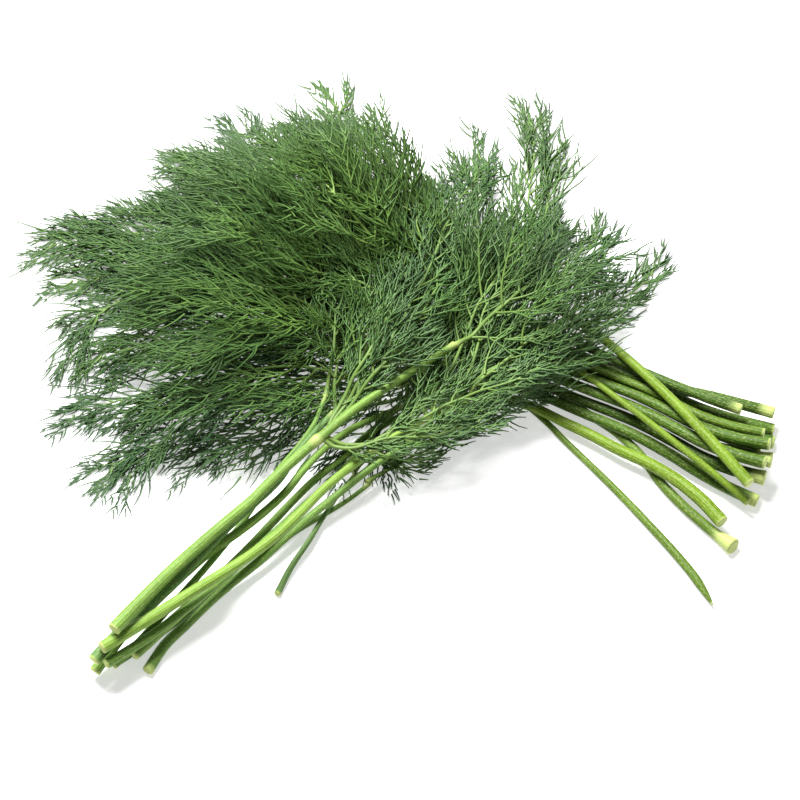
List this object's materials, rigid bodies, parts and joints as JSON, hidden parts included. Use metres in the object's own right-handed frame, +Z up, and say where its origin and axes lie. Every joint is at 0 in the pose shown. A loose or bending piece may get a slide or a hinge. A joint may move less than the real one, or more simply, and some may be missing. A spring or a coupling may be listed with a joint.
{
  "type": "dill bunch",
  "caption": "Loose bunch of fresh cut dill lying flat: green stems in two crossed handfuls, with feathery thread-like leaves spread in a heap.",
  "frame": {"origin": "centre of the bunch's underside, on the surface it lies on", "axes": "+Z up from the surface; +X from the leaf tips on the left towards the rear handful's cut ends on the right; +Y away from the front handful's cut ends"},
  "size_m": [0.3146, 0.2896, 0.0567],
  "materials": {
    "stem": null,
    "rear_leaf": null,
    "front_leaf": null
  },
  "bodies": {
    "root": {"rear_stem_01": "stem", "rear_stem_02": "stem", "rear_stem_03": "stem", "rear_stem_04": "stem", "rear_stem_05": "stem", "rear_stem_06": "stem", "rear_stem_07": "stem", "rear_stem_08": "stem", "rear_stem_09": "stem", "rear_stem_10": "stem", "rear_stem_11": "stem", "rear_stem_12": "stem", "rear_stem_13": "stem", "rear_stem_14": "stem", "rear_stem_15": "stem", "rear_stem_16": "stem", "rear_leaf_01": "rear_leaf", "rear_leaf_02": "rear_leaf", "rear_leaf_03": "rear_leaf", "rear_leaf_04": "rear_leaf", "rear_leaf_05": "rear_leaf", "rear_leaf_06": "rear_leaf", "rear_leaf_07": "rear_leaf", "rear_leaf_08": "rear_leaf", "rear_leaf_09": "rear_leaf", "rear_leaf_10": "rear_leaf", "rear_leaf_11": "rear_leaf", "rear_leaf_12": "rear_leaf", "rear_leaf_13": "rear_leaf", "rear_leaf_14": "rear_leaf", "rear_leaf_15": "rear_leaf", "rear_leaf_16": "rear_leaf", "rear_leaf_17": "rear_leaf", "rear_leaf_18": "rear_leaf", "rear_leaf_19": "rear_leaf", "rear_leaf_20": "rear_leaf", "front_stem_01": "stem", "front_stem_02": "stem", "front_stem_03": "stem", "front_stem_04": "stem", "front_stem_05": "stem", "front_stem_06": "stem", "front_stem_07": "stem", "front_stem_08": "stem", "front_stem_09": "stem", "front_stem_10": "stem", "front_leaf_01": "front_leaf", "front_leaf_02": "front_leaf", "front_leaf_03": "front_leaf", "front_leaf_04": "front_leaf", "front_leaf_05": "front_leaf", "front_leaf_06": "front_leaf", "front_leaf_07": "front_leaf", "front_leaf_08": "front_leaf", "front_leaf_09": "front_leaf", "front_leaf_10": "front_leaf", "front_leaf_11": "front_leaf", "front_leaf_12": "front_leaf", "front_leaf_13": "front_leaf", "front_leaf_14": "front_leaf"}
  },
  "joints": []
}
